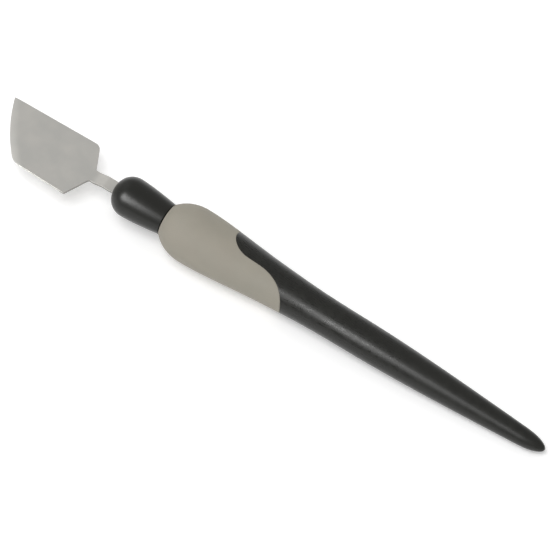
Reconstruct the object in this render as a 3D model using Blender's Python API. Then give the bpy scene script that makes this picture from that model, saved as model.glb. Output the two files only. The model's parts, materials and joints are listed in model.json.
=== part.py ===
"""Palette knife: a short angled spring-steel blade on a cranked neck, and a slim two-colour handle.

Metres, +Z up. The knife lies at rest on z = 0 with its blade towards -X, and the origin is the centre
of its footprint. Every piece is modelled along one straight knife axis: x runs from the point of the
blade to the end of the tail, y across the blade, z out of the blade's upper face. The whole knife is
then tipped onto the two places where it touches the table, the belly of the grip and the tail.
"""

import math

import bmesh
import bpy
from mathutils import Matrix, Vector

MM = 0.001
GAP = 0.3 * MM  # between pieces that touch on the real knife
SIDES = 40  # flats round every turned piece
SMOOTH_ANGLE = math.radians(35)  # edges sharper than this stay crisp
MERGE = 1e-7  # only vertices that coincide on the turning axis are joined
OVERSHOOT = 2.0 * MM  # how far a cutter reaches beyond the piece it cuts

# Blade: plan outline, thickness and the crank in its neck
POINT = (0.0 * MM, 9.3 * MM)  # the sharp upper corner of the tip
HEEL_X = 31.8 * MM  # where the long edges end
UPPER_HEEL = 10.0 * MM  # their y there
LOWER_HEEL = -10.4 * MM
TOE = (12.5 * MM, -10.0 * MM)  # the rounded lower corner of the tip
TIP_BULGE = 1.25 * MM  # how far the working edge bows out of its chord
TOE_RADIUS = 5.0 * MM
UPPER_HEEL_RADIUS = 2.4 * MM
LOWER_HEEL_RADIUS = 0.4 * MM
ROOT_X = 35.7 * MM  # where the heel runs into the neck
ROOT_RADIUS = 0.8 * MM
CORNER_STEPS = 4  # facets in each rounded corner
EDGE_STEPS = 7  # facets along the working edge
NECK_HALF = 2.1 * MM
STEEL = 0.9 * MM  # thickness of neck, tang and heel
TIP_STEEL = 0.45 * MM  # thickness ground down to at the point
CRANK = 1.1 * MM  # drop from the neck to the blade
CRANK_FROM, CRANK_TO = 37.5 * MM, 40.7 * MM
FLEX_X = 41.8 * MM  # the line about which the neck bends

# Tang: the rest of the steel strip, barbed on both edges
TANG_END = 74.8 * MM
BARBS = 3
BARB_PITCH = 4.0 * MM
BARB_DEPTH = 0.5 * MM
LAST_BARB_TIP = 72.8 * MM

# Nose collar: an egg-shaped front and a long taper back to the grip
NOSE_X = 44.2 * MM
NOSE_BELLY_X = 50.4 * MM
NOSE_BELLY = 6.65 * MM
NOSE_END_X = 63.6 * MM
NOSE_END = 5.3 * MM
NOSE_SQUARENESS = 2.15  # 2 would make the front an ellipsoid
NOSE_TAPER_POWER = 1.5
NOSE_DOME_RINGS = 7
NOSE_TAPER_RINGS = 5
BORE_X = 51.9 * MM  # front of the bore that takes the core's spigot
SPIGOT = 3.6 * MM

# Outer shape of grip and tail: a domed front, then stations of x, radius and slope, then a round end
GRIP_X = NOSE_END_X + GAP
BELLY_X = 73.6 * MM
DOME_LENGTH = 11.9 * MM
DOME_RINGS = 6  # along the domed front, and again along the tail's round end
STATIONS = (
    (BELLY_X, 9.35 * MM, 0.0),
    (87.8 * MM, 8.44 * MM, -0.100),
    (103.3 * MM, 7.02 * MM, -0.070),
    (118.8 * MM, 6.10 * MM, -0.036),
    (136.8 * MM, 5.82 * MM, -0.010),
    (156.8 * MM, 5.22 * MM, -0.045),
    (180.8 * MM, 3.90 * MM, -0.062),
    (194.8 * MM, 3.02 * MM, -0.070),
)
END_X = 202.8 * MM
END_POWER = 2.35  # how square the tail's round end is
GRIP_RINGS = 9
TAIL_RINGS = 10
BALANCE_X = 92.0 * MM  # the knife balances here, between its two places of rest
REST_PLACES = 120  # places along the handle tried as places of rest

# Grip sleeve: wall, the inner ribs that key it to the core, and the S-shaped rear edge seen from above
WALL = 2.2 * MM
SPINE_FRONT = 3.7 * MM  # core radius under the front edge of the sleeve
SPINE_FULL_X = 71.3 * MM  # from here back the wall is full
RIBS = 3
RIB_PITCH = 4.5 * MM
FIRST_RIB_X = 72.3 * MM
RIB_WIDTH = 1.8 * MM
RIB_HEIGHT = 0.9 * MM
BEHIND_RIBS = 3.6 * MM  # from the middle of the last rib to where the bore follows the outside again
BORE_RINGS = 6
POCKET_FRONT = 0.2 * MM  # how far the core's pocket starts in front of the sleeve
S_FRONT_X = 86.0 * MM  # the edge crosses the far half of the handle here
S_TIGHT = (7.5 * MM, 6.5 * MM)  # half axes of its first bend
S_LEVEL = -0.18 * MM  # then it runs back along the crest at this y
S_WIDE_X = 97.6 * MM
S_WIDE = (13.4 * MM, 11.0 * MM)  # half axes of the long bend that ends it
S_TIGHT_STEPS = 7
S_WIDE_STEPS = 9
CUTTER_REACH = 16.0 * MM  # half the height and width of the cutters round the handle
CUTTER_FRONT = 10.0 * MM  # how far they start in front of the grip


def reset():
    """Removes whatever the scene already holds."""
    for thing in list(bpy.data.objects):
        bpy.data.objects.remove(thing)


def material(name, colour, roughness, metallic=0.0):
    """A Principled material."""
    made = bpy.data.materials.new(name)
    made.use_nodes = True
    shader = made.node_tree.nodes["Principled BSDF"]
    shader.inputs["Base Color"].default_value = (*colour, 1.0)
    shader.inputs["Roughness"].default_value = roughness
    shader.inputs["Metallic"].default_value = metallic
    made.diffuse_color = (*colour, 1.0)
    return made


def finish(name, bm, surface, smooth=False):
    """Turns a bmesh into an object with its material."""
    bmesh.ops.recalc_face_normals(bm, faces=bm.faces)
    mesh = bpy.data.meshes.new(name)
    bm.to_mesh(mesh)
    bm.free()
    if smooth:
        mesh.shade_smooth()
        mesh.set_sharp_from_angle(angle=SMOOTH_ANGLE)
    thing = bpy.data.objects.new(name, mesh)
    bpy.context.scene.collection.objects.link(thing)
    if surface is not None:
        mesh.materials.append(surface)
    return thing


def cut(thing, cutter, operation="DIFFERENCE"):
    """Cuts one object with another, which is then only a guide."""
    step = thing.modifiers.new(cutter.name, "BOOLEAN")
    step.object = cutter
    step.operation = operation
    step.solver = "EXACT"
    cutter.hide_render = True
    cutter.display_type = "WIRE"


def spaced(start, end, count):
    """Evenly spaced places from start to end, both included."""
    return [start + (end - start) * i / (count - 1) for i in range(count)]


def towards(start, end):
    """Places from start to end that crowd together at the end, for a rounded surface."""
    return [start + (end - start) * math.sin(a) for a in spaced(0.0, math.pi / 2, DOME_RINGS + 1)]


def arc(centre, half_axes, start, end, steps):
    """Points on an upright ellipse in the xy plane, from one angle in degrees to another."""
    points = []
    for angle in spaced(math.radians(start), math.radians(end), steps + 1):
        x = centre[0] + half_axes[0] * math.cos(angle)
        y = centre[1] + half_axes[1] * math.sin(angle)
        points.append((x, y))
    return points


def rounded(corners):
    """Plan outline through (point, radius) corners, with an arc in place of each corner with a radius."""
    points = []
    for i, (corner, radius) in enumerate(corners):
        here = Vector(corner)
        if radius == 0.0:
            points.append(tuple(here))
            continue
        back = (Vector(corners[i - 1][0]) - here).normalized()
        ahead = (Vector(corners[(i + 1) % len(corners)][0]) - here).normalized()
        half = back.angle(ahead) / 2
        centre = here + (back + ahead).normalized() * (radius / math.sin(half))
        first = here + back * (radius / math.tan(half)) - centre
        last = here + ahead * (radius / math.tan(half)) - centre
        turn = first.angle_signed(last)
        for k in range(CORNER_STEPS + 1):
            points.append(tuple(centre + Matrix.Rotation(-turn * k / CORNER_STEPS, 2) @ first))
    return points


def plate(name, outline, thickness, surface):
    """A flat plate on z = 0 with the given plan outline."""
    bm = bmesh.new()
    face = bm.faces.new([bm.verts.new((x, y, 0.0)) for x, y in outline])
    raised = bmesh.ops.extrude_face_region(bm, geom=[face])
    for vert in raised["geom"]:
        if isinstance(vert, bmesh.types.BMVert):
            vert.co.z = thickness
    return finish(name, bm, surface)


def turned(name, profile, surface=None):
    """A turned piece from an (x, radius) profile. Its flats touch the true radius, and one faces down."""
    bm = bmesh.new()
    reach = 1.0 / math.cos(math.pi / SIDES)
    start = Matrix.Rotation(math.pi / SIDES, 3, "X")
    verts = [bm.verts.new(start @ Vector((x, 0.0, r * reach))) for x, r in profile]
    closed = profile[0][1] > 0.0
    ends = list(zip(verts, verts[1:] + verts[:1])) if closed else list(zip(verts, verts[1:]))
    edges = [bm.edges.new(pair) for pair in ends]
    bmesh.ops.spin(
        bm,
        geom=verts + edges,
        cent=(0.0, 0.0, 0.0),
        axis=(1.0, 0.0, 0.0),
        angle=2 * math.pi,
        steps=SIDES,
        use_merge=True,
    )
    bmesh.ops.remove_doubles(bm, verts=bm.verts, dist=MERGE)
    return finish(name, bm, surface, smooth=True)


def working_edge():
    """The bowed working edge of the blade, from just past the toe to just short of the point."""
    toe = Vector(TOE)
    chord = Vector(POINT) - toe
    out = Vector((-chord.y, chord.x)).normalized()
    edge = []
    for t in spaced(0.0, 1.0, EDGE_STEPS + 1)[1:-1]:
        bow = 4 * t * (1 - t)  # a parabola that is 1 halfway along
        edge.append(tuple(toe + chord * t + out * TIP_BULGE * bow))
    return edge


def steel_bottom(x):
    """Underside of the strip: level in the handle, down the crank, level again under the blade."""
    down = (CRANK_TO - x) / (CRANK_TO - CRANK_FROM)
    return -STEEL / 2 - CRANK * min(max(down, 0.0), 1.0)


def steel_thickness(x):
    """Full thickness from the heel back, ground thinner towards the point."""
    return TIP_STEEL + (STEEL - TIP_STEEL) * min(x / HEEL_X, 1.0)


def make_blade(surface):
    """The blade with the part of its neck in front of the line about which it bends."""
    neck_end = FLEX_X - GAP / 2
    corners = [
        ((neck_end, -NECK_HALF), 0.0),
        ((neck_end, NECK_HALF), 0.0),
        ((ROOT_X, NECK_HALF), ROOT_RADIUS),
        ((HEEL_X, UPPER_HEEL), UPPER_HEEL_RADIUS),
        (POINT, 0.0),
        *[(point, 0.0) for point in reversed(working_edge())],
        (TOE, TOE_RADIUS),
        ((HEEL_X, LOWER_HEEL), LOWER_HEEL_RADIUS),
        ((ROOT_X, -NECK_HALF), ROOT_RADIUS),
    ]
    blade = plate("blade", rounded(corners), STEEL, surface)
    bm = bmesh.new()
    bm.from_mesh(blade.data)
    for x in (HEEL_X, CRANK_FROM, CRANK_TO):
        everything = bm.verts[:] + bm.edges[:] + bm.faces[:]
        bmesh.ops.bisect_plane(bm, geom=everything, plane_co=(x, 0.0, 0.0), plane_no=(1.0, 0.0, 0.0))
    for vert in bm.verts:
        upper = vert.co.z > STEEL / 2
        vert.co.z = steel_bottom(vert.co.x) + (steel_thickness(vert.co.x) if upper else 0.0)
    bm.to_mesh(blade.data)
    bm.free()
    return blade


def make_tang(surface):
    """The strip behind the bending line, with barbs that grip the moulded handle."""
    upper = [(FLEX_X + GAP / 2, NECK_HALF)]
    root = NECK_HALF - BARB_DEPTH
    for i in range(BARBS):
        tip_x = LAST_BARB_TIP - (BARBS - 1 - i) * BARB_PITCH
        notch_x = tip_x - BARB_PITCH / 2
        upper += [(notch_x, NECK_HALF), (notch_x, root), (tip_x, NECK_HALF)]
    upper.append((TANG_END, root))
    lower = [(x, -y) for x, y in reversed(upper)]
    tang = plate("tang", lower + upper, STEEL, surface)
    tang.location.z = -STEEL / 2
    return tang


def tang_slot(name, start, end):
    """Cutter for the slot round the tang."""
    bm = bmesh.new()
    bmesh.ops.create_cube(bm, size=1.0)
    size = (end - start, 2 * (NECK_HALF + GAP), STEEL + 2 * GAP)
    bmesh.ops.scale(bm, vec=size, verts=bm.verts)
    slot = finish(name, bm, None)
    slot.location.x = (start + end) / 2
    return slot


def nose_radius(x):
    """The nose collar's outer radius behind its egg-shaped front."""
    back = (x - NOSE_BELLY_X) / (NOSE_END_X - NOSE_BELLY_X)
    return NOSE_BELLY - (NOSE_BELLY - NOSE_END) * back**NOSE_TAPER_POWER


def make_nose_collar(surface):
    """The glossy collar that closes the handle round the neck."""
    length = NOSE_BELLY_X - NOSE_X
    power = 2 / NOSE_SQUARENESS
    outer = []
    for angle in spaced(0.0, math.pi / 2, NOSE_DOME_RINGS + 1)[:-1]:
        x = NOSE_BELLY_X - length * math.cos(angle) ** power
        outer.append((x, NOSE_BELLY * math.sin(angle) ** power))
    outer += [(x, nose_radius(x)) for x in spaced(NOSE_BELLY_X, NOSE_END_X, NOSE_TAPER_RINGS + 1)]
    bore = [(NOSE_END_X, SPIGOT + GAP), (BORE_X, SPIGOT + GAP), (BORE_X, 0.0)]
    collar = turned("nose_collar", outer + bore, surface)
    cut(collar, tang_slot("nose_slot_cutter", NOSE_X - OVERSHOOT, BORE_X + OVERSHOOT))
    return collar


def handle_radius(x):
    """Outer radius of grip and tail: domed front, stations joined by cubic curves, round end."""
    if x < BELLY_X:
        return STATIONS[0][1] * math.sqrt(1 - ((BELLY_X - x) / DOME_LENGTH) ** 2)
    for (x0, r0, s0), (x1, r1, s1) in zip(STATIONS, STATIONS[1:]):
        if x <= x1:
            span = x1 - x0
            t = (x - x0) / span
            start = r0 * (1 + 2 * t) * (1 - t) ** 2 + s0 * span * t * (1 - t) ** 2
            return start + r1 * t * t * (3 - 2 * t) - s1 * span * t * t * (1 - t)
    last_x, last_r, slope = STATIONS[-1]
    t = (x - last_x) / (END_X - last_x)
    return (last_r + slope * (x - last_x)) * math.sqrt(max(1 - t**END_POWER, 0.0))


def spine_radius(x):
    """Radius of the core under the sleeve."""
    full = handle_radius(SPINE_FULL_X) - WALL
    if x < SPINE_FULL_X:
        return SPINE_FRONT + (full - SPINE_FRONT) * (x - GRIP_X) / (SPINE_FULL_X - GRIP_X)
    return handle_radius(x) - WALL


def inner_profile(start, end, clearance):
    """The sleeve's bore with its ribs, from front to rear, or the core's grooves where clearance is 0."""
    half = RIB_WIDTH / 2 - clearance
    profile = [(start, spine_radius(start) + clearance)]
    for i in range(RIBS):
        middle = FIRST_RIB_X + i * RIB_PITCH
        near, far = middle - half, middle + half
        profile += [
            (near, spine_radius(near) + clearance),
            (near, spine_radius(near) - RIB_HEIGHT + clearance),
            (far, spine_radius(far) - RIB_HEIGHT + clearance),
            (far, spine_radius(far) + clearance),
        ]
    behind = FIRST_RIB_X + (RIBS - 1) * RIB_PITCH + BEHIND_RIBS
    return profile + [(x, spine_radius(x) + clearance) for x in spaced(behind, end, BORE_RINGS)]


def s_edge(shift=0.0):
    """The sleeve's rear edge in plan, from the far side of the handle to the near side."""
    tight = arc((S_FRONT_X + S_TIGHT[0], S_LEVEL + S_TIGHT[1]), S_TIGHT, 180, 270, S_TIGHT_STEPS)
    wide = arc((S_WIDE_X, S_LEVEL - S_WIDE[1]), S_WIDE, 90, 0, S_WIDE_STEPS)
    line = [(S_FRONT_X, CUTTER_REACH), *tight, *wide, (S_WIDE_X + S_WIDE[0], -CUTTER_REACH)]
    return [(x + shift, y + shift) for x, y in line]


def front_of_s(name, shift=0.0):
    """Upright prism that holds all of the handle in front of the S-shaped edge."""
    edge = s_edge(shift)
    front_x = GRIP_X - CUTTER_FRONT
    outline = [(front_x, edge[-1][1]), *reversed(edge), (front_x, edge[0][1])]
    prism = plate(name, outline, 2 * CUTTER_REACH, None)
    prism.location.z = -CUTTER_REACH
    return prism


def make_grip_sleeve(surface):
    """The soft sleeve over the front of the core."""
    rear_x = S_WIDE_X + S_WIDE[0]
    rings = towards(GRIP_X, BELLY_X)[:-1] + spaced(BELLY_X, rear_x, GRIP_RINGS)
    outer = [(x, handle_radius(x)) for x in rings]
    bore = inner_profile(GRIP_X, rear_x, GAP)
    sleeve = turned("grip_sleeve", outer + bore[::-1], surface)
    cut(sleeve, front_of_s("sleeve_s_cutter"), "INTERSECT")
    return sleeve


def make_handle_core(surface):
    """The moulded core: a spigot for the nose collar, the spine under the sleeve, and the tail."""
    shoulder_x = GRIP_X + GAP
    waist_x = STATIONS[3][0]
    end_x = STATIONS[-1][0]
    rings = spaced(shoulder_x, waist_x, GRIP_RINGS) + spaced(waist_x, end_x, TAIL_RINGS)[1:]
    rings += towards(end_x, END_X)[1:]
    profile = [(BORE_X + GAP, 0.0), (BORE_X + GAP, SPIGOT), (shoulder_x, SPIGOT)]
    profile += [(x, handle_radius(x)) for x in rings]
    core = turned("handle_core", profile, surface)

    rear_x = S_WIDE_X + S_WIDE[0] + GAP
    front_x = GRIP_X - POCKET_FRONT
    ring = inner_profile(front_x, rear_x, 0.0) + [(rear_x, CUTTER_REACH), (front_x, CUTTER_REACH)]
    pocket = turned("sleeve_pocket_cutter", ring)
    cut(pocket, front_of_s("pocket_s_cutter", GAP), "INTERSECT")
    cut(core, pocket)
    cut(core, tang_slot("core_slot_cutter", BORE_X - OVERSHOOT, TANG_END + GAP))
    return core


def resting_tilt():
    """Slope of the line under the handle that touches it in front of and behind the balance point."""
    places = spaced(BELLY_X, STATIONS[-1][0], REST_PLACES)
    front = [x for x in places if x < BALANCE_X]
    rear = [x for x in places if x > BALANCE_X]
    deepest = (0.0, 0.0)
    for a in front:
        for b in rear:
            slope = (handle_radius(b) - handle_radius(a)) / (b - a)
            deepest = max(deepest, (handle_radius(a) + slope * (BALANCE_X - a), slope))
    return math.atan(-deepest[1])


def world_box(things):
    """Lowest and highest corners of the evaluated objects."""
    graph = bpy.context.evaluated_depsgraph_get()
    corners = []
    for thing in things:
        shown = thing.evaluated_get(graph)
        corners += [shown.matrix_world @ vert.co for vert in shown.data.vertices]
    low = Vector([min(c[i] for c in corners) for i in range(3)])
    high = Vector([max(c[i] for c in corners) for i in range(3)])
    return low, high


def empty(name, location=(0.0, 0.0, 0.0)):
    """A guide that other objects hang on."""
    made = bpy.data.objects.new(name, None)
    bpy.context.scene.collection.objects.link(made)
    made.location = location
    return made


def main():
    reset()
    steel = material("spring_steel", (0.42, 0.42, 0.40), 0.38, 1.0)
    gloss_black = material("gloss_black", (0.018, 0.018, 0.018), 0.28)
    satin_black = material("satin_black", (0.022, 0.022, 0.022), 0.45)
    soft_grey = material("soft_grey", (0.34, 0.32, 0.27), 0.75)

    blade = make_blade(steel)
    handle = [
        make_tang(steel),
        make_nose_collar(gloss_black),
        make_handle_core(satin_black),
        make_grip_sleeve(soft_grey),
    ]

    knife = empty("knife_axis")
    for thing in list(bpy.context.scene.objects):
        if thing is not knife and thing is not blade:
            thing.parent = knife
    flex = empty("blade_flex_axis", (FLEX_X, 0.0, 0.0))
    flex.parent = knife
    blade.parent = flex
    blade.location.x = -FLEX_X

    knife.rotation_euler.y = resting_tilt()
    bpy.context.view_layer.update()
    low, high = world_box([blade, *handle])
    knife.location = (-(low.x + high.x) / 2, -(low.y + high.y) / 2, -low.z)
    bpy.context.view_layer.update()


main()
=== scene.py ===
import json
import math

import bmesh
import bpy
from mathutils import Matrix, Vector


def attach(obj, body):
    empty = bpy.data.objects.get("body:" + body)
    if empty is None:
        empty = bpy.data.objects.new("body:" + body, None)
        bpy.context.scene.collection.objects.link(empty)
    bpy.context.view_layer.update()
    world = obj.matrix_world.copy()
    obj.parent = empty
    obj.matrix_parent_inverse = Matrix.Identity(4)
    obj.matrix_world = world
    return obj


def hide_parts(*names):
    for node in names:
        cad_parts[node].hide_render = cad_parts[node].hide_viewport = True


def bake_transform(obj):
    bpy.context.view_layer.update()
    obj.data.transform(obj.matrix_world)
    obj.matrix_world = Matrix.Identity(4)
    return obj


# A palette knife: one steel stamping with a slanted working edge and a cranked neck, a glossy black nose
# collar, a soft grey grip with an S-shaped rear edge, and a satin black tail. Shapes are in millimetres
# along the knife's own axis: x from the blade's point to the tail, y across the blade and z out of its
# upper face. knife_frame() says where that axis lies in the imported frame.

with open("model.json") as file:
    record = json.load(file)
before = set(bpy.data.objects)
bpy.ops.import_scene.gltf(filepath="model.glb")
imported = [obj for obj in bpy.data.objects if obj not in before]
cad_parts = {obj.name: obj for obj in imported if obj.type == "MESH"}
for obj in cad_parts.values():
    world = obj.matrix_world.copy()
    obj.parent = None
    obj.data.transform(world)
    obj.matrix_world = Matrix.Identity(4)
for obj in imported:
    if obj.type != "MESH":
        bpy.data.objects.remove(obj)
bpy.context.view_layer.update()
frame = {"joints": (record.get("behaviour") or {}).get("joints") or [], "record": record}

METRES = 0.001  # in a millimetre

# Blade in plan
POINT = (0.0, 9.3)
TOE = (12.5, -10.0)
TOE_RADIUS = 5.0
TOE_REACH = 3.0  # its rounding ends this far along the working edge
TIP_BULGE = 1.25  # how far the working edge bows out of its chord
HEEL_X = 31.8
UPPER_HEEL, LOWER_HEEL = 10.0, -10.4
UPPER_HEEL_RADIUS = 2.4
LOWER_HEEL_RADIUS = 0.4
ROOT_X = 35.7  # the heel's slanted edges meet the neck here
ROOT_RADIUS = 0.8
NECK_HALF = 2.1
CORNER_STEPS = 10
EDGE_STEPS = 28

# Steel: thickness, bevel and crank
STEEL = 0.9
TIP_STEEL = 0.45
EDGE_STEEL = 0.14  # what the ground bevel leaves at the working edge
BEVEL_WIDTH = 2.7
BEVEL_ROWS = 6
RUN_OUT = 12.0  # the bevel's line goes straight on this far past the working edge
SLANT_STEPS = 9  # steps from the point in which the lines across the bevel turn square to the edge
STEEL_ROUNDING = 0.09
ROUNDING_STEPS = 3
RIM_ANGLE = 60  # degrees: sharper edges of the flat plate are its rims, and are rounded
CRANK = 1.1
CRANK_FROM, CRANK_TO = 37.5, 40.7
BEND = 0.7  # half the length of each bend in the crank
FLEX_X = 41.8
FLEX_REACH = 3.8  # the steel bends this far to each side of the joint
PLATE_ROWS = 16
ROOT_ROWS = (33.5, 35.0, 36.5)
NECK_ROWS = 32
BEND_MARGIN = 0.5  # the neck's rows end this far behind the bending part
SLIVER = 0.004  # shorter edges are merged
STEEL_CREASE = 8  # degrees: sharper edges stay crisp
MOULDING_CREASE = 40

# Tang
TANG_END = 74.8
BARBS = 3
BARB_PITCH = 4.0
BARB_DEPTH = 0.5
LAST_BARB_TIP = 72.8

# Nose collar
NOSE_X = 44.2
NOSE_BELLY_X = 50.4
NOSE_BELLY = 6.65
NOSE_END_X = 63.6
NOSE_END = 5.3
NOSE_SQUARENESS = 2.15
NOSE_TAPER_POWER = 1.5
BORE_X = 51.9
SPIGOT = 3.6
SLOT_PAST = 2.0  # the slot's cutter reaches this far past both ends
CLEARANCE = 0.05  # between the moulded pieces
LIP = 0.18  # rounding of the collar's and the grip's facing edges
NOSE_FRONT_STEPS = 28
NOSE_BACK_STEPS = 21

# Grip and tail: stations of x, radius and slope
GRIP_X = 63.9
BELLY_X = 73.6
DOME_LENGTH = 11.9
STATIONS = (
    (BELLY_X, 9.35, 0.0),
    (87.8, 8.44, -0.100),
    (103.3, 7.02, -0.070),
    (118.8, 6.10, -0.036),
    (136.8, 5.82, -0.010),
    (156.8, 5.22, -0.045),
    (180.8, 3.90, -0.062),
    (194.8, 3.02, -0.070),
)
END_X = 202.8
END_POWER = 2.35
WALL = 2.2
SPINE_FRONT = 3.7
SPINE_FULL_X = 71.3
RIBS = 3
RIB_PITCH = 4.5
FIRST_RIB_X = 72.3
RIB_WIDTH = 1.8
RIB_HEIGHT = 0.9

# The grip's S-shaped rear edge in plan
S_FRONT_X = 86.0  # its front runs round the handle here
S_TIGHT = (7.5, 6.5)  # half axes of its tight bend, along and across
S_LEVEL = -0.18  # y of the straight stretch between its bends
S_WIDE_X = 97.6  # its wide bend starts here
S_WIDE = (13.4, 11.0)
S_ROUNDING = 0.12
S_STEPS = 100  # points on each stretch

# The mesh of the turned pieces
HALF_TURN = 72  # lines along the handle over half of its circumference
LEAN = 0.8  # how much the lines crowd towards one side of the handle in a plain ring
S_ROWS = 34  # rings between a plain one and the S
LAST_SHARE = 0.97  # the last of those rings lies this far along
DOME_ROWS = 20
TAIL_ROWS = 60
END_ROWS = 18
GRIP_LIP_ROWS, CORE_LIP_ROWS = 5, 4  # in the roundings that face each other across the S


# ---------------------------------------------------------------- small helpers


def spaced(start, end, count):
    """Evenly spaced numbers from start to end, both included."""
    return [start + (end - start) * i / (count - 1) for i in range(count)]


def smooth(t):
    """0 to 1 with level ends."""
    return t * t * (3 - 2 * t)


def knife_frame():
    """Matrix from the knife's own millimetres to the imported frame, from the record's mount and joint."""
    out_of_blade = -Vector(frame["record"]["mounts"][0]["axis"])
    along = Vector((0.0, 1.0, 0.0)).cross(out_of_blade)
    origin = Vector(frame["joints"][0]["pos_m"]) - along * FLEX_X * METRES
    turn = Matrix((along, (0.0, 1.0, 0.0), out_of_blade)).transposed().to_4x4()
    return Matrix.Translation(origin) @ turn @ Matrix.Scale(METRES, 4)


KNIFE = knife_frame()


def piece(name, bm, surface, sharp_degrees):
    """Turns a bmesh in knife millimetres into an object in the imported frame."""
    bmesh.ops.recalc_face_normals(bm, faces=bm.faces)
    mesh = bpy.data.meshes.new(name)
    bm.to_mesh(mesh)
    bm.free()
    mesh.shade_smooth()
    mesh.set_sharp_from_angle(angle=math.radians(sharp_degrees))
    mesh.transform(KNIFE)
    mesh.materials.append(surface)
    made = bpy.data.objects.new(name, mesh)
    bpy.context.scene.collection.objects.link(made)
    return made


# ---------------------------------------------------------------- materials

HELD_TO, CLEAN_FROM = 0.040, 0.060  # metres along the frame: the handling marks fade between the two


class Surface:
    """A Principled material whose nodes are added one call at a time."""

    def __init__(self, name, colour, roughness, metallic=0.0):
        self.material = bpy.data.materials.new(name)
        self.material.use_nodes = True
        self.tree = self.material.node_tree
        self.shader = self.tree.nodes["Principled BSDF"]
        self.put(self.shader, {"Base Color": (*colour, 1.0), "Roughness": roughness, "Metallic": metallic})
        self.material.diffuse_color = (*colour, 1.0)
        self.place = self.add("ShaderNodeTexCoord").outputs["Object"]

    def put(self, node, values):
        """Sets a node's inputs by name, from numbers or from other nodes' outputs."""
        for key, value in values.items():
            if isinstance(value, bpy.types.NodeSocket):
                self.tree.links.new(value, node.inputs[key])
            else:
                node.inputs[key].default_value = value

    def add(self, kind, values=None, **settings):
        """A new node."""
        node = self.tree.nodes.new(kind)
        for key, value in settings.items():
            setattr(node, key, value)
        self.put(node, values or {})
        return node

    def stretched(self, scale, turn=(0.0, 0.0, 0.0)):
        """Object coordinates, turned and scaled."""
        mapping = self.add("ShaderNodeMapping", {"Vector": self.place, "Rotation": turn, "Scale": scale})
        return mapping.outputs["Vector"]

    def noise(self, scale, detail=3.0, roughness=0.5, vector=None, distortion=0.0):
        """Noise with `scale` features to the metre."""
        values = {
            "Vector": vector or self.place,
            "Scale": scale,
            "Detail": detail,
            "Roughness": roughness,
            "Distortion": distortion,
        }
        return self.add("ShaderNodeTexNoise", values).outputs["Fac"]

    def spread(self, value, low, high, out_low=0.0, out_high=1.0):
        """Maps low..high to out_low..out_high."""
        values = {"Value": value, "From Min": low, "From Max": high, "To Min": out_low, "To Max": out_high}
        return self.add("ShaderNodeMapRange", values).outputs["Result"]

    def maths(self, operation, a, b):
        """One sum of two numbers or outputs."""
        node = self.add("ShaderNodeMath", operation=operation)
        for socket, value in zip(node.inputs, (a, b)):
            if isinstance(value, bpy.types.NodeSocket):
                self.tree.links.new(value, socket)
            else:
                socket.default_value = value
        return node.outputs["Value"]

    def blend(self, factor, first, second):
        """Mixes two colours."""
        node = self.add("ShaderNodeMix", data_type="RGBA")
        named = {"Factor": factor, "A": first, "B": second}
        for socket in node.inputs:
            if socket.enabled and socket.name in named:
                value = named[socket.name]
                if isinstance(value, bpy.types.NodeSocket):
                    self.tree.links.new(value, socket)
                elif socket.name == "Factor":
                    socket.default_value = value
                else:
                    socket.default_value = (*value, 1.0)
        return next(s for s in node.outputs if s.enabled)

    def bumps(self, *layers):
        """Bump from (height, depth in metres) layers."""
        normal = None
        for height, depth in layers:
            values = {"Height": height, "Distance": depth, "Strength": 1.0}
            if normal is not None:
                values["Normal"] = normal
            normal = self.add("ShaderNodeBump", values).outputs["Normal"]
        self.put(self.shader, {"Normal": normal})


def satin_steel():
    """Rolled and finely ground spring steel, brighter where the working edge has been ground and worn, with
    painted shade darkening the heel's and the neck's side walls.
    """
    made = Surface("spring_steel_satin", (0.42, 0.42, 0.40), 0.42, metallic=1.0)
    cloud = made.noise(140.0, detail=2.0)
    grain = made.noise(1.0, detail=3.0, vector=made.stretched((900.0, 7000.0, 7000.0)))
    scratch = made.noise(1.0, detail=2.0, vector=made.stretched((60.0, 5200.0, 900.0), (0.0, 0.0, 0.5)))
    wear = made.add("ShaderNodeAttribute", attribute_name="wear").outputs["Fac"]
    painted_shade_wall = made.add("ShaderNodeAttribute", attribute_name="painted_shade_wall").outputs["Fac"]
    base = made.blend(made.spread(cloud, 0.35, 0.65), (0.592, 0.583, 0.551), (0.643, 0.626, 0.587))
    base = made.blend(made.maths("MULTIPLY", wear, 0.2), base, (0.70, 0.69, 0.665))
    # Painted shade: the heel's and the neck's side walls are darkened towards a near-black steel colour,
    # which stands in for a dark reflection and the shade along those edges.
    base = made.blend(made.maths("MULTIPLY", painted_shade_wall, 0.75), base, (0.14, 0.135, 0.125))
    made.put(made.shader, {"Base Color": base})
    rough = made.spread(grain, 0.3, 0.7, 0.40, 0.50)
    rough = made.maths("SUBTRACT", rough, made.maths("MULTIPLY", wear, 0.08))
    rough = made.maths("SUBTRACT", rough, made.spread(scratch, 0.64, 0.72, 0.0, 0.06))
    made.put(made.shader, {"Roughness": rough})
    made.bumps((grain, 0.0000012), (made.spread(scratch, 0.64, 0.72), 0.0000010), (cloud, 0.00001))
    return made.material


def gloss_black():
    """Smooth moulded black plastic with a faint orange peel, fine scuffs and specks of dust."""
    made = Surface("gloss_black_moulded", (0.018, 0.018, 0.018), 0.27)
    peel = made.noise(650.0, detail=2.0)
    scuff = made.noise(1.0, detail=2.0, vector=made.stretched((300.0, 4200.0, 4200.0), (0.3, 0.0, 0.9)))
    dust = made.noise(1900.0, detail=0.0)
    specks = made.spread(dust, 0.87, 0.90)
    base = made.blend(specks, (0.0094, 0.0095, 0.0072), (0.13, 0.13, 0.125))
    made.put(made.shader, {"Base Color": base, "Specular IOR Level": 0.38})
    made.put(made.shader, {"Roughness": made.spread(scuff, 0.55, 0.75, 0.31, 0.42)})
    made.bumps((peel, 0.00002), (scuff, 0.0000012))
    return made.material


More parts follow.
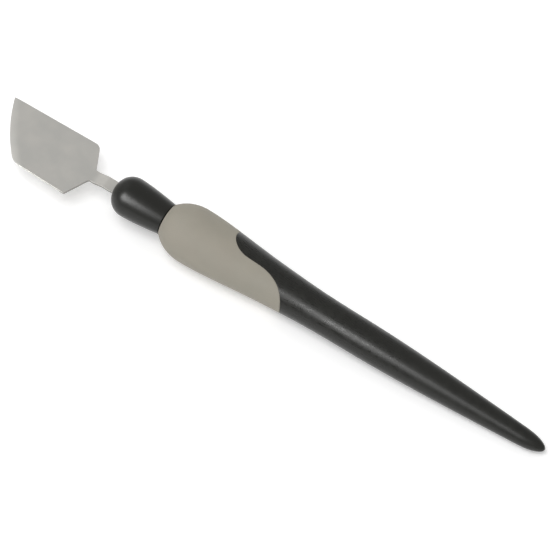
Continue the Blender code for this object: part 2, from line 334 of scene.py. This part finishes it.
def satin_black():
    """Moulded black plastic with a fine spark-eroded texture and diagonal handling marks."""
    made = Surface("satin_black_moulded", (0.022, 0.022, 0.022), 0.42)
    spark = made.noise(5200.0, detail=2.0, roughness=0.7)
    mottle = made.noise(420.0, detail=3.0, roughness=0.6)
    marks = made.noise(1.0, detail=1.0, vector=made.stretched((450.0, 2300.0, 2300.0), (0.0, 0.0, 0.9)))
    along = made.add("ShaderNodeSeparateXYZ", {"Vector": made.place}).outputs["X"]
    held = made.spread(along, CLEAN_FROM, HELD_TO, 0.15, 1.0)
    marks = made.maths("MULTIPLY", made.spread(marks, 0.48, 0.72), held)
    base = made.blend(made.spread(mottle, 0.35, 0.7), (0.0082, 0.0083, 0.0063), (0.0126, 0.0127, 0.0100))
    made.put(made.shader, {"Base Color": base, "Specular IOR Level": 0.38})
    rough = made.spread(mottle, 0.3, 0.7, 0.32, 0.40)
    rough = made.maths("SUBTRACT", rough, made.maths("MULTIPLY", marks, 0.17))
    made.put(made.shader, {"Roughness": rough})
    made.bumps((spark, 0.000006), (mottle, 0.000010), (marks, 0.000002))
    return made.material


def soft_grey():
    """Soft-touch elastomer: matte, with a very fine grain and a slightly smudged warm grey."""
    made = Surface("soft_grey_elastomer", (0.34, 0.32, 0.27), 0.75)
    grain = made.noise(6500.0, detail=2.0, roughness=0.7)
    cloud = made.noise(110.0, detail=3.0)
    base = made.blend(made.spread(cloud, 0.3, 0.7), (0.295, 0.277, 0.229), (0.325, 0.305, 0.253))
    base = made.blend(made.spread(grain, 0.3, 0.7, 0.0, 0.25), base, (0.245, 0.230, 0.192))
    tint = made.noise(70.0, detail=2.0)
    base = made.blend(made.spread(tint, 0.35, 0.65, 0.0, 0.06), base, (0.42, 0.30, 0.24))
    made.put(made.shader, {"Base Color": base})
    made.put(made.shader, {"Roughness": made.spread(cloud, 0.3, 0.7, 0.66, 0.80)})
    made.bumps((grain, 0.000012), (cloud, 0.00002))
    return made.material


# ---------------------------------------------------------------- blade, neck and tang: one stamping


def rounded(corners):
    """Plan outline through (point, radius) corners, with an arc in place of each corner with a radius."""
    points = []
    for i, (corner, radius) in enumerate(corners):
        here = Vector(corner)
        if radius == 0.0:
            points.append(here)
            continue
        back = (Vector(corners[i - 1][0]) - here).normalized()
        ahead = (Vector(corners[(i + 1) % len(corners)][0]) - here).normalized()
        half = back.angle(ahead) / 2
        centre = here + (back + ahead).normalized() * (radius / math.sin(half))
        first = here + back * (radius / math.tan(half)) - centre
        last = here + ahead * (radius / math.tan(half)) - centre
        turn = first.angle_signed(last)
        for k in range(CORNER_STEPS + 1):
            points.append(centre + Matrix.Rotation(-turn * k / CORNER_STEPS, 2) @ first)
    return points


def working_edge():
    """The bowed working edge, from where the toe's rounding ends to just short of the point."""
    toe = Vector(TOE)
    chord = Vector(POINT) - toe
    out = Vector((-chord.y, chord.x)).normalized()
    edge = []
    for t in spaced(TOE_REACH / chord.length, 1.0, EDGE_STEPS + 1)[:-1]:
        bow = 4 * t * (1 - t)
        edge.append(toe + chord * t + out * TIP_BULGE * bow)
    return edge


def tang_side():
    """The tang's upper edge from the neck to its end, with its barbs."""
    root = NECK_HALF - BARB_DEPTH
    side = []
    for i in range(BARBS):
        tip_x = LAST_BARB_TIP - (BARBS - 1 - i) * BARB_PITCH
        notch_x = tip_x - BARB_PITCH / 2
        side += [(notch_x, NECK_HALF), (notch_x, root), (tip_x, NECK_HALF)]
    side.append((TANG_END, root))
    return side


def softened(x, corner):
    """x - corner past a corner, 0 before it, with a bend of length 2 * BEND between the two."""
    past = x - corner
    if abs(past) < BEND:
        return (past + BEND) ** 2 / (4 * BEND)
    return max(past, 0.0)


def steel_bottom(x):
    """Underside of the strip: level in the handle, down the crank, level again under the blade."""
    up = (softened(x, CRANK_FROM) - softened(x, CRANK_TO)) / (CRANK_TO - CRANK_FROM)
    return -STEEL / 2 - CRANK * (1 - up)


def bevel_edge():
    """The line that the bevel is ground along: the working edge, carried straight on past the toe."""
    line = [Vector(POINT), *reversed(working_edge())]
    onward = (Vector(TOE) - line[-1]).normalized()
    return [*line, line[-1] + onward * RUN_OUT]


def away_from(line, spot):
    """Distance in plan from a spot to a line of points."""
    best = math.inf
    for a, b in zip(line, line[1:]):
        run = b - a
        share = min(max((spot - a).dot(run) / run.length_squared, 0.0), 1.0)
        best = min(best, (spot - a - run * share).length)
    return best


def steel_outline():
    """The stamping's outline in three runs: tang to point, working edge with the toe, lower edge to tang."""
    tang = tang_side()
    upper = [((x, y), 0.0) for x, y in reversed(tang)]
    upper += [((ROOT_X, NECK_HALF), ROOT_RADIUS), ((HEEL_X, UPPER_HEEL), UPPER_HEEL_RADIUS), (POINT, 0.0)]
    lower_heel = (HEEL_X, LOWER_HEEL)
    line = bevel_edge()
    corners = [*[(point, 0.0) for point in line[:-1]], (TOE, TOE_RADIUS), (lower_heel, 0.0)]
    ground = rounded(corners)[:-1]
    onward = (Vector(lower_heel) - ground[-1]).normalized()
    left = BEVEL_WIDTH - away_from(line, ground[-1])
    ground.append(ground[-1] + onward * (left / math.sin(onward.angle(line[-1] - line[-2]))))
    lower = [(TOE, 0.0), (lower_heel, LOWER_HEEL_RADIUS), ((ROOT_X, -NECK_HALF), ROOT_RADIUS)]
    lower += [((x, -y), 0.0) for x, y in tang]
    return rounded(upper)[:-1], ground, rounded(lower)[1:]


def bevel_rows(upper, ground):
    """Rows of points across the bevel, from the working edge to just past where the bevel starts."""
    line = bevel_edge()
    corner = (upper[-1] - line[0]).angle(line[1] - line[0])
    across_bevel = []
    for i, spot in enumerate(ground):
        k = min(i, len(line) - 2)
        run = (line[k + 1] - line[max(k - 1, 0)]).normalized()
        slant = (1 - smooth(min(i / SLANT_STEPS, 1.0))) / math.tan(corner)
        left = max(BEVEL_WIDTH - away_from(line, spot), 0.0)
        across_bevel.append((Vector((-run.y, run.x)) + run * slant) * left)
    shares = spaced(0.0, 1 + 1 / BEVEL_ROWS, BEVEL_ROWS + 2)
    return [[spot + reach * share for spot, reach in zip(ground, across_bevel)] for share in shares]


def make_steel(surface):
    """The stamping: plan outline, rounded rims, thickness, crank and the bevel ground on the working edge.

    Its points carry "wear", 1 at the working edge, and a mask of painted shade, 1 on the heel's and the
    neck's side walls.
    """
    upper, ground, lower = steel_outline()
    bm = bmesh.new()
    upper_verts, lower_verts = (
        [bm.verts.new((point.x, point.y, 0.0)) for point in run] for run in (upper, lower)
    )
    bevel_end = bm.verts.new((ground[-1].x, ground[-1].y, 0.0))
    rows = []
    for row in bevel_rows(upper, ground):
        rows.append([bm.verts.new((point.x, point.y, 0.0)) for point in row[:-1]] + [bevel_end])
    for near, far in zip(rows, rows[1:]):
        for i in range(len(near) - 1):
            bm.faces.new(list(dict.fromkeys((near[i], near[i + 1], far[i + 1], far[i]))))
    bm.faces.new([*upper_verts, *rows[-1], *lower_verts])

    raised = bmesh.ops.extrude_face_region(bm, geom=bm.faces[:])
    for item in raised["geom"]:
        if isinstance(item, bmesh.types.BMVert):
            item.co.z = STEEL
    bmesh.ops.recalc_face_normals(bm, faces=bm.faces)
    rim = []
    for edge in bm.edges:
        level = abs(edge.verts[0].co.z - edge.verts[1].co.z) < STEEL / 2
        if level and edge.calc_face_angle() > math.radians(RIM_ANGLE):
            rim.append(edge)
    bmesh.ops.bevel(
        bm, geom=rim, offset=STEEL_ROUNDING, segments=ROUNDING_STEPS, profile=0.5, affect="EDGES"
    )
    stations = spaced(HEEL_X / PLATE_ROWS, HEEL_X, PLATE_ROWS) + list(ROOT_ROWS)
    stations += spaced(CRANK_FROM - BEND, FLEX_X + FLEX_REACH + BEND_MARGIN, NECK_ROWS)
    for x in stations:
        everything = bm.verts[:] + bm.edges[:] + bm.faces[:]
        bmesh.ops.bisect_plane(bm, geom=everything, plane_co=(x, 0.0, 0.0), plane_no=(1.0, 0.0, 0.0))
    bmesh.ops.dissolve_degenerate(bm, dist=SLIVER, edges=bm.edges)

    line = bevel_edge()
    wear = bm.verts.layers.float.new("wear")
    painted_shade_wall = bm.verts.layers.float.new("painted_shade_wall")
    for vert in bm.verts:
        on_side = STEEL_ROUNDING / 4 < vert.co.z < STEEL - STEEL_ROUNDING / 4
        # Painted shade mask: 1 on the side walls of the heel and the neck, which the steel's colour darkens.
        vert[painted_shade_wall] = 1.0 if on_side and vert.co.x > HEEL_X - LOWER_HEEL_RADIUS else 0.0
        vert[wear] = max(1 - away_from(line, vert.co.xy) / BEVEL_WIDTH, 0.0) ** 2
        full = TIP_STEEL + (STEEL - TIP_STEEL) * min(vert.co.x / HEEL_X, 1.0)
        thick = full - (full - EDGE_STEEL) * vert[wear]
        vert.co.z = steel_bottom(vert.co.x) + thick * vert.co.z / STEEL
    return piece("steel_blade_and_tang", bm, surface, STEEL_CREASE)


# ---------------------------------------------------------------- turned pieces


def lathe(profile, steps):
    """A closed turned bmesh from an (x, radius) profile that starts and ends on the axis or closes up."""
    bm = bmesh.new()
    rings = []
    for x, r in profile:
        if r == 0.0:
            rings.append([bm.verts.new((x, 0.0, 0.0))] * steps)
            continue
        turn = [2 * math.pi * k / steps for k in range(steps)]
        rings.append([bm.verts.new((x, r * math.cos(a), r * math.sin(a))) for a in turn])
    join_rings(bm, rings, closed=profile[0][1] > 0.0)
    return bm


def join_rings(bm, rings, closed):
    """Faces between neighbouring rings of vertices, and back to the first where closed."""
    pairs = list(zip(rings, rings[1:]))
    if closed:
        pairs.append((rings[-1], rings[0]))
    for near, far in pairs:
        for k in range(len(near)):
            j = (k + 1) % len(near)
            corners = dict.fromkeys((near[k], near[j], far[j], far[k]))
            if len(corners) > 2:
                bm.faces.new(list(corners))


def fillet(x, r, size, towards_x, steps=4):
    """Profile points that round a right-angled rim from its cylinder side to its end face."""
    points = []
    for a in spaced(0.0, math.pi / 2, steps + 1):
        points.append((x + towards_x * size * (math.sin(a) - 1), r - size * (1 - math.cos(a))))
    return points


def nose_radius(x):
    """The nose collar's outer radius behind its egg-shaped front."""
    back = (x - NOSE_BELLY_X) / (NOSE_END_X - NOSE_BELLY_X)
    return NOSE_BELLY - (NOSE_BELLY - NOSE_END) * max(back, 0.0) ** NOSE_TAPER_POWER


def make_nose(surface):
    """The glossy collar, with a slot that the neck just fits and a bore for the core's spigot."""
    power = 2 / NOSE_SQUARENESS
    outer = []
    for a in spaced(0.0, math.pi / 2, NOSE_FRONT_STEPS + 1)[:-1]:
        x = NOSE_BELLY_X - (NOSE_BELLY_X - NOSE_X) * math.cos(a) ** power
        outer.append((x, NOSE_BELLY * math.sin(a) ** power))
    back = spaced(NOSE_BELLY_X, NOSE_END_X - LIP, NOSE_BACK_STEPS + 1)[:-1]
    outer += [(x, nose_radius(x)) for x in back]
    outer += fillet(NOSE_END_X, nose_radius(NOSE_END_X - LIP), LIP, 1)
    bore = SPIGOT + CLEARANCE
    bm = lathe([*outer, (NOSE_END_X, bore), (BORE_X, bore), (BORE_X, 0.0)], 2 * HALF_TURN)
    nose = piece("nose_collar_moulding", bm, surface, MOULDING_CREASE)

    slot = bmesh.new()
    bmesh.ops.create_cube(slot, size=1.0)
    size = (BORE_X - NOSE_X + 2 * SLOT_PAST, 2 * (NECK_HALF + CLEARANCE), STEEL + 2 * CLEARANCE)
    bmesh.ops.scale(slot, vec=size, verts=slot.verts)
    bmesh.ops.translate(slot, vec=((NOSE_X + BORE_X) / 2, 0.0, 0.0), verts=slot.verts)
    cutter = piece("nose_slot_cutter", slot, surface, MOULDING_CREASE)
    step = nose.modifiers.new("slot", "BOOLEAN")
    step.object = cutter
    step.solver = "EXACT"
    bpy.context.view_layer.update()
    cut = bpy.data.meshes.new_from_object(nose.evaluated_get(bpy.context.evaluated_depsgraph_get()))
    nose.modifiers.clear()
    nose.data = cut
    bpy.data.objects.remove(cutter)
    return nose


# ---------------------------------------------------------------- grip and tail, which meet along the S


def handle_radius(x):
    """Outer radius of grip and tail."""
    if x < BELLY_X:
        return STATIONS[0][1] * math.sqrt(1 - ((BELLY_X - x) / DOME_LENGTH) ** 2)
    for (x0, r0, s0), (x1, r1, s1) in zip(STATIONS, STATIONS[1:]):
        if x <= x1:
            span = x1 - x0
            t = (x - x0) / span
            start = r0 * (1 + 2 * t) * (1 - t) ** 2 + s0 * span * t * (1 - t) ** 2
            return start + r1 * t * t * (3 - 2 * t) - s1 * span * t * t * (1 - t)
    last_x, last_r, slope = STATIONS[-1]
    t = (x - last_x) / (END_X - last_x)
    return (last_r + slope * (x - last_x)) * math.sqrt(max(1 - t**END_POWER, 0.0))


def spine_radius(x):
    """Radius of the core under the grip."""
    full = handle_radius(SPINE_FULL_X) - WALL
    if x < SPINE_FULL_X:
        return SPINE_FRONT + (full - SPINE_FRONT) * (x - GRIP_X) / (SPINE_FULL_X - GRIP_X)
    return handle_radius(x) - WALL


def s_plan():
    """The S in plan past its straight front: the tight bend, then the wide one up to the handle's side."""
    plan = []
    for a in spaced(0.0, math.pi / 2, S_STEPS):
        plan.append((S_FRONT_X + S_TIGHT[0] * (1 - math.cos(a)), S_LEVEL + S_TIGHT[1] * (1 - math.sin(a))))
    near, far = 0.0, math.pi / 2
    for _ in range(40):  # halves the span in which the wide bend reaches the side
        middle = (near + far) / 2
        x, y = S_WIDE_X + S_WIDE[0] * math.sin(middle), S_LEVEL - S_WIDE[1] * (1 - math.cos(middle))
        near, far = (middle, far) if y > -handle_radius(x) else (near, middle)
    for t in spaced(0.0, 1.0, S_STEPS):
        a = near * (1 - (1 - t) ** 2)
        plan.append((S_WIDE_X + S_WIDE[0] * math.sin(a), S_LEVEL - S_WIDE[1] * (1 - math.cos(a))))
    return plan


def s_edge():
    """The S over the top half of the handle: HALF_TURN + 1 evenly spaced (x, angle) points."""
    front = math.acos((S_LEVEL + S_TIGHT[1]) / handle_radius(S_FRONT_X))
    fine = [(S_FRONT_X, angle) for angle in spaced(0.0, front, S_STEPS)[:-1]]
    fine += [(x, math.acos(y / handle_radius(x))) for x, y in s_plan()[:-1]]
    fine.append((s_plan()[-1][0], math.pi))
    reach = [0.0]
    for (x0, a0), (x1, a1) in zip(fine, fine[1:]):
        reach.append(reach[-1] + math.hypot(x1 - x0, handle_radius(x0) * (a1 - a0)))
    points, i = [], 0
    for k in range(HALF_TURN + 1):
        wanted = reach[-1] * k / HALF_TURN
        while i < len(fine) - 2 and reach[i + 1] < wanted:
            i += 1
        share = (wanted - reach[i]) / (reach[i + 1] - reach[i])
        points.append(tuple(a + (b - a) * share for a, b in zip(fine[i], fine[i + 1])))
    return points


S_EDGE = s_edge()


def line_angle(k, lean):
    """Angle of line k away from the S, where the lines are spread round the handle."""
    t = k / HALF_TURN
    return math.pi * (t + lean * t * (1 - t))


def across(share, x, lean):
    """A row of (x, angle) points: the ring at x where share is 0, the S where it is 1.

    The lines run straight along the handle at first and turn to the S late, so that none of them cross.
    """
    row = []
    for k, (x_edge, a_edge) in enumerate(S_EDGE):
        start = line_angle(k, lean)
        row.append((x + (x_edge - x) * share, start + (a_edge - start) * share**3))
    return row


def beside(offset):
    """A row that runs beside the S, offset towards the grip where positive."""
    row = []
    for k, (x, angle) in enumerate(S_EDGE):
        r = handle_radius(x)
        last = S_EDGE[k - 1] if k > 0 else (S_EDGE[1][0], -S_EDGE[1][1])
        following = S_EDGE[k + 1] if k < HALF_TURN else (S_EDGE[-2][0], 2 * math.pi - S_EDGE[-2][1])
        run = Vector((following[0] - last[0], r * (following[1] - last[1]))).normalized()
        row.append((x - run.y * offset, angle + run.x * offset / r))
    return row


def ring_of(bm, row, depth=0.0, radius=None):
    """A full ring of vertices from a row over the top half and its mirror image below."""
    ring = []
    for k in range(2 * HALF_TURN):
        x, angle = row[k] if k <= HALF_TURN else row[2 * HALF_TURN - k]
        r = handle_radius(x) - depth if radius is None else radius(x)
        side = 1 if k <= HALF_TURN else -1
        ring.append(bm.verts.new((x, r * math.cos(angle), side * r * math.sin(angle))))
    return ring


def level_row(x, lean):
    """A plain ring round the handle."""
    return [(x, line_angle(k, lean)) for k in range(HALF_TURN + 1)]


def spine_profile(clearance):
    """(x, radius) of the core's grooved spine, or of the sleeve's ribbed bore, from front to rear."""
    half = RIB_WIDTH / 2 - clearance
    profile = [(GRIP_X + CLEARANCE, spine_radius(GRIP_X) + clearance)]
    for i in range(RIBS):
        middle = FIRST_RIB_X + i * RIB_PITCH
        near, far = middle - half, middle + half
        profile += [
            (near, spine_radius(near) + clearance),
            (near, spine_radius(near) - RIB_HEIGHT + clearance),
            (far, spine_radius(far) - RIB_HEIGHT + clearance),
            (far, spine_radius(far) + clearance),
        ]
    return profile


def make_grip(surface):
    """The soft sleeve."""
    bm = bmesh.new()
    front = GRIP_X + CLEARANCE
    dome = []
    for a in spaced(0.0, math.pi / 2, DOME_ROWS):
        dome.append(front + LIP + (BELLY_X - front - LIP) * math.sin(a))
    rings = []
    lip_radius = handle_radius(dome[0])
    for x, r in reversed(fillet(front, lip_radius, LIP, -1)[1:]):
        rings.append(ring_of(bm, level_row(x, LEAN), radius=lambda _, r=r: r))
    rings += [ring_of(bm, level_row(x, LEAN)) for x in dome]
    rings += [ring_of(bm, across(share, BELLY_X, LEAN)) for share in spaced(0.0, LAST_SHARE, S_ROWS)[1:]]
    for a in spaced(0.0, math.pi / 2, GRIP_LIP_ROWS):
        inset = S_ROUNDING * (1 - math.sin(a)) + CLEARANCE / 2
        rings.append(ring_of(bm, beside(inset), depth=S_ROUNDING * (1 - math.cos(a))))
    rings.append(ring_of(bm, beside(CLEARANCE / 2), depth=WALL - CLEARANCE))
    profile = spine_profile(CLEARANCE)
    last_x = profile[-1][0] + RIB_WIDTH
    for share in (0.75, 0.5, 0.25, 0.0):
        rings.append(ring_of(bm, across(share, last_x, LEAN), depth=WALL - CLEARANCE))
    for x, r in reversed(profile):
        rings.append(ring_of(bm, level_row(x, LEAN), radius=lambda _, r=r: r))
    join_rings(bm, rings, closed=True)
    return piece("soft_grip_sleeve", bm, surface, MOULDING_CREASE)


def make_core(surface):
    """The moulded core: spigot and grooved spine inside the grip, and the tail."""
    bm = bmesh.new()
    rings = []
    hub = bm.verts.new((BORE_X + CLEARANCE, 0.0, 0.0))
    rings.append([hub] * (2 * HALF_TURN))
    shoulder = GRIP_X + CLEARANCE
    for x, r in [(BORE_X + CLEARANCE, SPIGOT), (shoulder, SPIGOT), *spine_profile(0.0)]:
        rings.append(ring_of(bm, level_row(x, LEAN), radius=lambda _, r=r: r))
    last_x = spine_profile(0.0)[-1][0] + RIB_WIDTH
    for share in (0.0, 0.25, 0.5, 0.75):
        rings.append(ring_of(bm, across(share, last_x, LEAN), depth=WALL))
    rings.append(ring_of(bm, beside(-CLEARANCE / 2), depth=WALL))
    for a in spaced(0.0, math.pi / 2, CORE_LIP_ROWS):
        inset = S_ROUNDING / 2 * (1 - math.cos(a)) + CLEARANCE / 2
        rings.append(ring_of(bm, beside(-inset), depth=S_ROUNDING / 2 * (1 - math.sin(a))))
    waist_x = STATIONS[3][0]
    rings += [ring_of(bm, across(share, waist_x, -LEAN)) for share in spaced(LAST_SHARE, 0.0, S_ROWS)]
    end_from = STATIONS[-1][0]
    rings += [ring_of(bm, level_row(x, -LEAN)) for x in spaced(waist_x, end_from, TAIL_ROWS)[1:]]
    for a in spaced(0.0, math.pi / 2, END_ROWS)[1:-1]:
        rings.append(ring_of(bm, level_row(end_from + (END_X - end_from) * math.sin(a), -LEAN)))
    end = bm.verts.new((END_X, 0.0, 0.0))
    rings.append([end] * (2 * HALF_TURN))
    join_rings(bm, rings, closed=False)
    return piece("handle_core_moulding", bm, surface, MOULDING_CREASE)


# ---------------------------------------------------------------- the object

steel = make_steel(satin_steel())
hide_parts("blade", "tang")
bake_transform(steel)

for make, look, node, slot_name in (
    (make_nose, gloss_black, "nose_collar", "gloss_black"),
    (make_core, satin_black, "handle_core", "satin_black"),
    (make_grip, soft_grey, "grip_sleeve", "soft_grey"),
):
    moulding = make(look())
    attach(moulding, "handle")
    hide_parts(node)


# ---------------------------------------------------------------- floor, light and camera

FLOOR_SIZE = 6.0  # metres
FLOOR_GLOW = 0.24
ROOM_LIGHT = 0.55
CAMERA_AZIMUTH = 33.446
CAMERA_ELEVATION = 61.513
CAMERA_DISTANCE = 2.0
CAMERA_TARGET = (-0.0019, 0.00682, 0.0)
SENSOR = 36.0
FOCAL_LENGTH = 421.2


def make_floor():
    """A plain white table."""
    bm = bmesh.new()
    bmesh.ops.create_grid(bm, x_segments=1, y_segments=1, size=FLOOR_SIZE / 2)
    mesh = bpy.data.meshes.new("floor")
    bm.to_mesh(mesh)
    bm.free()
    made = Surface("white_table", (0.9, 0.9, 0.9), 0.9)
    grain = made.noise(300.0, detail=2.0)
    made.put(made.shader, {"Roughness": made.spread(grain, 0.3, 0.7, 0.85, 0.95), "Specular IOR Level": 0.2})
    made.put(made.shader, {"Emission Color": (1.0, 1.0, 1.0, 1.0), "Emission Strength": FLOOR_GLOW})
    mesh.materials.append(made.material)
    floor = bpy.data.objects.new("floor", mesh)
    bpy.context.scene.collection.objects.link(floor)


def softbox(name, azimuth, elevation, distance, size, power):
    """A rectangular light that faces the knife. Azimuth 0 is in front of it, along -Y, and 90 along +X."""
    light = bpy.data.lights.new(name, "AREA")
    light.shape = "RECTANGLE"
    light.size, light.size_y = size
    light.energy = power
    lamp = bpy.data.objects.new(name, light)
    bpy.context.scene.collection.objects.link(lamp)
    aim(lamp, azimuth, elevation, distance, Vector((0.0, 0.0, 0.0)))
    return lamp


def aim(thing, azimuth, elevation, distance, target):
    """Places a light or camera on a sphere round the target, facing it."""
    turn, rise = math.radians(azimuth), math.radians(elevation)
    out = Vector((math.sin(turn) * math.cos(rise), -math.cos(turn) * math.cos(rise), math.sin(rise)))
    thing.location = target + out * distance
    thing.rotation_euler = out.to_track_quat("Z", "Y").to_euler()


def make_camera():
    """A long lens, looking down from in front and to the right."""
    lens = bpy.data.cameras.new("camera")
    lens.sensor_width = SENSOR
    lens.lens = FOCAL_LENGTH
    camera = bpy.data.objects.new("camera", lens)
    bpy.context.scene.collection.objects.link(camera)
    aim(camera, CAMERA_AZIMUTH, CAMERA_ELEVATION, CAMERA_DISTANCE, Vector(CAMERA_TARGET))
    bpy.context.scene.camera = camera


def light_room():
    """White light from all round."""
    room = bpy.data.worlds.new("room")
    room.use_nodes = True
    background = room.node_tree.nodes["Background"]
    background.inputs["Color"].default_value = (1.0, 1.0, 1.0, 1.0)
    background.inputs["Strength"].default_value = ROOM_LIGHT
    bpy.context.scene.world = room
    bpy.context.scene.view_settings.view_transform = "Standard"


make_floor()
make_camera()
light_room()

# Two lamps light the table and the matte surfaces, and show no image of themselves in the glossy ones. A
# white card in front draws the long highlight along the collar and the tail, and a dim one lifts the left.
top = softbox("top_softbox", -8.0, 76.0, 1.8, (1.0, 0.8), 14.6)
top.visible_glossy = False
fill = softbox("left_fill", -95.0, 28.0, 1.5, (0.8, 0.8), 2.2)
fill.visible_glossy = False
card = softbox("front_card", -29.5, 44.5, 1.2, (0.68, 0.66), 13.9)
card.visible_diffuse = False
softbox("left_softbox", -115.0, 38.0, 1.5, (1.0, 1.0), 0.8)
